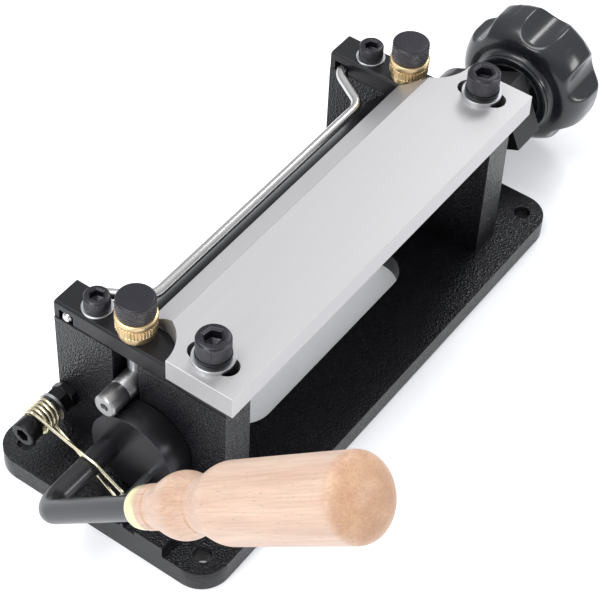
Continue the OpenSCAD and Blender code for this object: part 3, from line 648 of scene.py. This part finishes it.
wood_wires.new(tinted.outputs[0], wood_shader.inputs["Base Color"])
wood_wires.new(wood_range(fine.outputs[0], 0.0, 1.0, 0.36, 0.52), wood_shader.inputs["Roughness"])
wood_relief = wood.new("ShaderNodeBump")
wood_relief.inputs["Strength"].default_value = 0.12
wood_relief.inputs["Distance"].default_value = 0.0002
wood_wires.new(fine.outputs[0], wood_relief.inputs["Height"])
wood_wires.new(wood_relief.outputs["Normal"], wood_shader.inputs["Normal"])


def swell(start, end, share):
    """A smooth S between two radii."""
    return start + (end - start) * (1 - math.cos(math.pi * share)) / 2


handle_at, handle_l, dome = 68.5, 110.5, 7.0
neck_end, bead_at, waist_at, root_at = 4.3, 19.7, 29.8, 46


def handle_half(t):
    """Radius of the handle in mm, t mm from the ferrule: neck, bead, waist, slowly swelling body
    and domed end."""
    neck, bead, waist, root, full = 7.8, 11.45, 9.65, 13.6, 14.15
    if t < neck_end:
        return neck
    if t < bead_at:
        return swell(neck, bead, (t - neck_end) / (bead_at - neck_end))
    if t < waist_at:
        return swell(bead, waist, (t - bead_at) / (waist_at - bead_at))
    if t < root_at:
        return swell(waist, root, (t - waist_at) / (root_at - waist_at))
    if t < handle_l - dome:
        return root + (full - root) * (t - root_at) / (handle_l - dome - root_at)
    return full * math.sqrt(max(0, 1 - ((t - handle_l + dome) / dome) ** 2.2))


def groove(t):
    """Depth of the two fine grooves turned at the bead's start and at the waist."""
    return 0.4 * max(0, 1 - abs(t - 4.5) / 0.6) + 0.45 * max(0, 1 - abs(t - 30) / 0.9)


def handle_shape(bm):
    steps = [0, 0.3] + [k * 0.3 for k in range(2, 160)] + [50 + 6 * k for k in range(9)]
    steps += [handle_l - dome + dome * math.sin(math.radians(3 * k)) for k in range(30)]
    chamfer = lambda t: 0.3 if t == 0 else 0
    rings_of(bm, [(t * mm, (handle_half(t) - groove(t) - chamfer(t)) * mm) for t in steps], 96)
    bm.transform(along(lever_corner + handle_way * handle_at * mm, handle_way))


handle = place_mesh("beech_handle", handle_shape)
smooth_with_edges(handle, 50).data.materials.append(beech)
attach(handle, "lever")
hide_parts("handle")

# ---- Cams and spring pin ----
# Two eccentric steel discs, blackened, that carry the roller's journals. Each is fixed on the
# lever rod with a set screw, and the return spring hooks on a pin pressed into the near one.
# edge: colour of the painted highlight along the cams' edges.
cam_black = finish_of(
    "turned_black_cam", (0.020, 0.020, 0.024), 0.6, 0.30, grain=(60, 60, 60), aniso=0.3,
    edge=(0.12, 0.12, 0.12), edge_width=0.0005)
for node in ("cam_near", "cam_far"):
    dress(node, cam_black, 0.0004)
dress("spring_pin", zinc, 0.0002)

# ---- Square block, stud and hand knob ----
# A blackened steel block is fixed on the lever shaft's far end with a set screw. Its stud carries
# a moulded black plastic knob with a lipped collar, a cove and six scallops in the rounded rim.
dress("crank_block", bar_black, 0.0006)
dress("knob_stud", zinc, 0.0003)
knob_gloss = finish_of(
    "gloss_black_knob", (0.0080, 0.0084, 0.0118), 0.0, 0.27, grain=(40, 40, 40), coat=0.35,
    coat_rough=0.14, bump=0.04, bump_scale=300.0, bump_depth=0.0004)
knob_y, knob_z = -12.2 * mm, 37.3 * mm


def knob_shape(bm):
    collar, lip, cove, full, dome_h, rim, whole = 18.5, 2.0, 2.4, 30.2, 13.0, 5, 30.0
    front, front_h, dome_in, cove_out = 9.0, 7.6, 9.3, 2.9
    scallop, bite, soft, first = 10.0, 4.6, 1.8, math.radians(37.6)
    rise = lip + cove
    outline = [(6, 4.1), (6, 13.5), (0.4, 14.2), (0, 14.6), (0, 17.9), (0.2, 18.3),
               (0.6, collar), (1.5, collar), (1.8, 18.35), (lip, 18.0)]
    for a in [math.radians(k) for k in range(10, 90, 10)]:
        outline.append((lip + cove * math.sin(a), 18.0 + cove_out * (1 - math.cos(a))))
    for a in [math.radians(k) for k in range(8, 91, 4)]:
        outline.append((rise + dome_h * (1 - math.cos(a)), full - dome_in * (1 - math.sin(a))))
    outline += [(rise + dome_h + k, full) for k in (1.25, 2.5, 3.75, rim)]
    for a in [math.radians(k) for k in range(5, 91, 5)]:
        outline.append((rise + dome_h + rim + front_h * math.sin(a),
                        full - front * (1 - math.cos(a))))
    outline += [(whole - 0.1, 20.6), (whole - 0.8, 19.8), (whole - 0.8, 8), (whole - 0.8, 0.5)]
    middle = full + scallop - bite

    def lobed(half):
        """The radius where it isn't cut by the nearest scallop, with a soft edge between."""
        def rule(a, z):
            off = (a - first + math.pi / 6) % (math.pi / 3) - math.pi / 6
            inside = scallop ** 2 - (middle * math.sin(off)) ** 2
            limit = middle * math.cos(off) - math.sqrt(max(0, inside))
            blend = max(0, soft - abs(half - limit)) / soft
            return (min(half, limit) - blend ** 2 * soft / 4) * mm
        return rule
    rings_of(bm, [(z * mm, lobed(r)) for z, r in outline], 288)


knob_seat = (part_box("hand_knob")[0].x, knob_y, knob_z)
knob = place_mesh("lobed_hand_knob", knob_shape, along(knob_seat, (1, 0, 0), (0, 1, 0)))
smooth_with_edges(knob, 50).data.materials.append(knob_gloss)
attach(knob, "knob_body")
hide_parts("hand_knob")

# ---- Return spring and its screw ----
# Torsion spring of yellow zinc plated wire, wound round a black socket screw that two nuts hold
# on the near upright. One leg stands on the plate's pad, the other hooks on the near cam's pin.
dress("spring_bolt", black_oxide, 0.0002)
dress("spring_nuts", black_oxide, 0.0002)
dress("spring_washer", zinc)
spring_wire = finish_of(
    "yellow_zinc_wire", (0.74, 0.68, 0.50), 1.0, 0.27, grain=(200, 200, 200), stain=0.15)
wire_d = 1.4


def spring_path():
    """The wire's centre line in metres: foot in the pad's notch, curls round the screw, hook on
    the pin. Sizes are in mm; pairs are places across the shaft, as (y, z)."""
    coil, coil_pitch, turns, running_gap = 5.25, 1.85, 4, 0.3
    axis_y, axis_z, shaft_at, shaft_radius = 35.0, 28.0, (6.0, 29.0), 4.5
    wall_out, thin_nut, full_nut, washer = 93.4, 3.2, 5, 1.2
    coil_in = wall_out + thin_nut + full_nut + washer + wire_d / 2 + running_gap
    coil_out = coil_in + (turns + 0.5) * coil_pitch
    pin, pin_radius = (shaft_at[0] - 19, shaft_at[1] - 2), 1.6
    hook_x, hook = coil_out + 4.4, pin_radius + wire_d / 2 + 0.45
    leg_x, leg_y, pad_top, notch_deep = -115.4, -15.7, 14.0, 2
    foot = (leg_y + 3.8, pad_top + wire_d / 2 + 0.5)
    cross = (shaft_at[0], shaft_at[1] + shaft_radius + wire_d / 2 + 0.6)

    def bearing(point):
        return math.atan2(point[1] - axis_z, point[0] - axis_y)

    def lean(point):
        return math.acos(coil / math.hypot(point[0] - axis_y, point[1] - axis_z))
    first = bearing(foot) + lean(foot) + 2 * math.pi
    last = bearing(cross) - lean(cross) + 2 * math.pi
    swing = turns * 2 * math.pi + last - first
    rings = 24 * turns
    points = [(leg_x, leg_y, pad_top - notch_deep + 0.6),
              (leg_x, leg_y + 0.3, pad_top - notch_deep + 2.4),
              (leg_x, leg_y + 1.6, pad_top + wire_d / 2 + 0.3), (leg_x,) + foot]
    for k in range(rings + 1):
        a = first + swing * k / rings
        points.append((-(coil_in + (coil_out - coil_in) * k / rings),
                       axis_y + coil * math.cos(a), axis_z + coil * math.sin(a)))
    points += [(-hook_x, cross[0] + 1, cross[1]), (-hook_x, cross[0] - 4, cross[1] - 0.8)]
    for a in [math.radians(-15 * k) for k in range(13)]:
        points.append((-hook_x, pin[0] + hook * math.cos(a), pin[1] + hook * math.sin(a)))
    points.append((-hook_x, pin[0] - hook, pin[1] + 1.5))
    return [Vector(p) * mm for p in points]


# The upper leg is a piece of its own, because it bends between the frame and the lever.
wire_points = spring_path()
upper_leg_from, step = -0.1161, 2 * mm
leg_start = next(k for k, p in enumerate(wire_points) if p.x < upper_leg_from)
hook_start = leg_start + 2
upper_leg = []
for k in range(leg_start - 1, hook_start):
    here, there = wire_points[k], wire_points[k + 1]
    pieces = max(1, round((there - here).length / step))
    upper_leg += [here.lerp(there, n / pieces) for n in range(pieces)]
upper_leg += wire_points[hook_start:]
for name, points in (("wound_return_spring", wire_points[:leg_start]),
                     ("spring_upper_leg", upper_leg)):
    spring = place_mesh(name, lambda bm: sweep(bm, points, wire_d / 2 * mm, 14))
    smooth_with_edges(spring, 60).data.materials.append(spring_wire)
    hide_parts("return_spring")
    if name == "spring_upper_leg":
        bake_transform(spring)
    else:
        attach(spring, "frame")
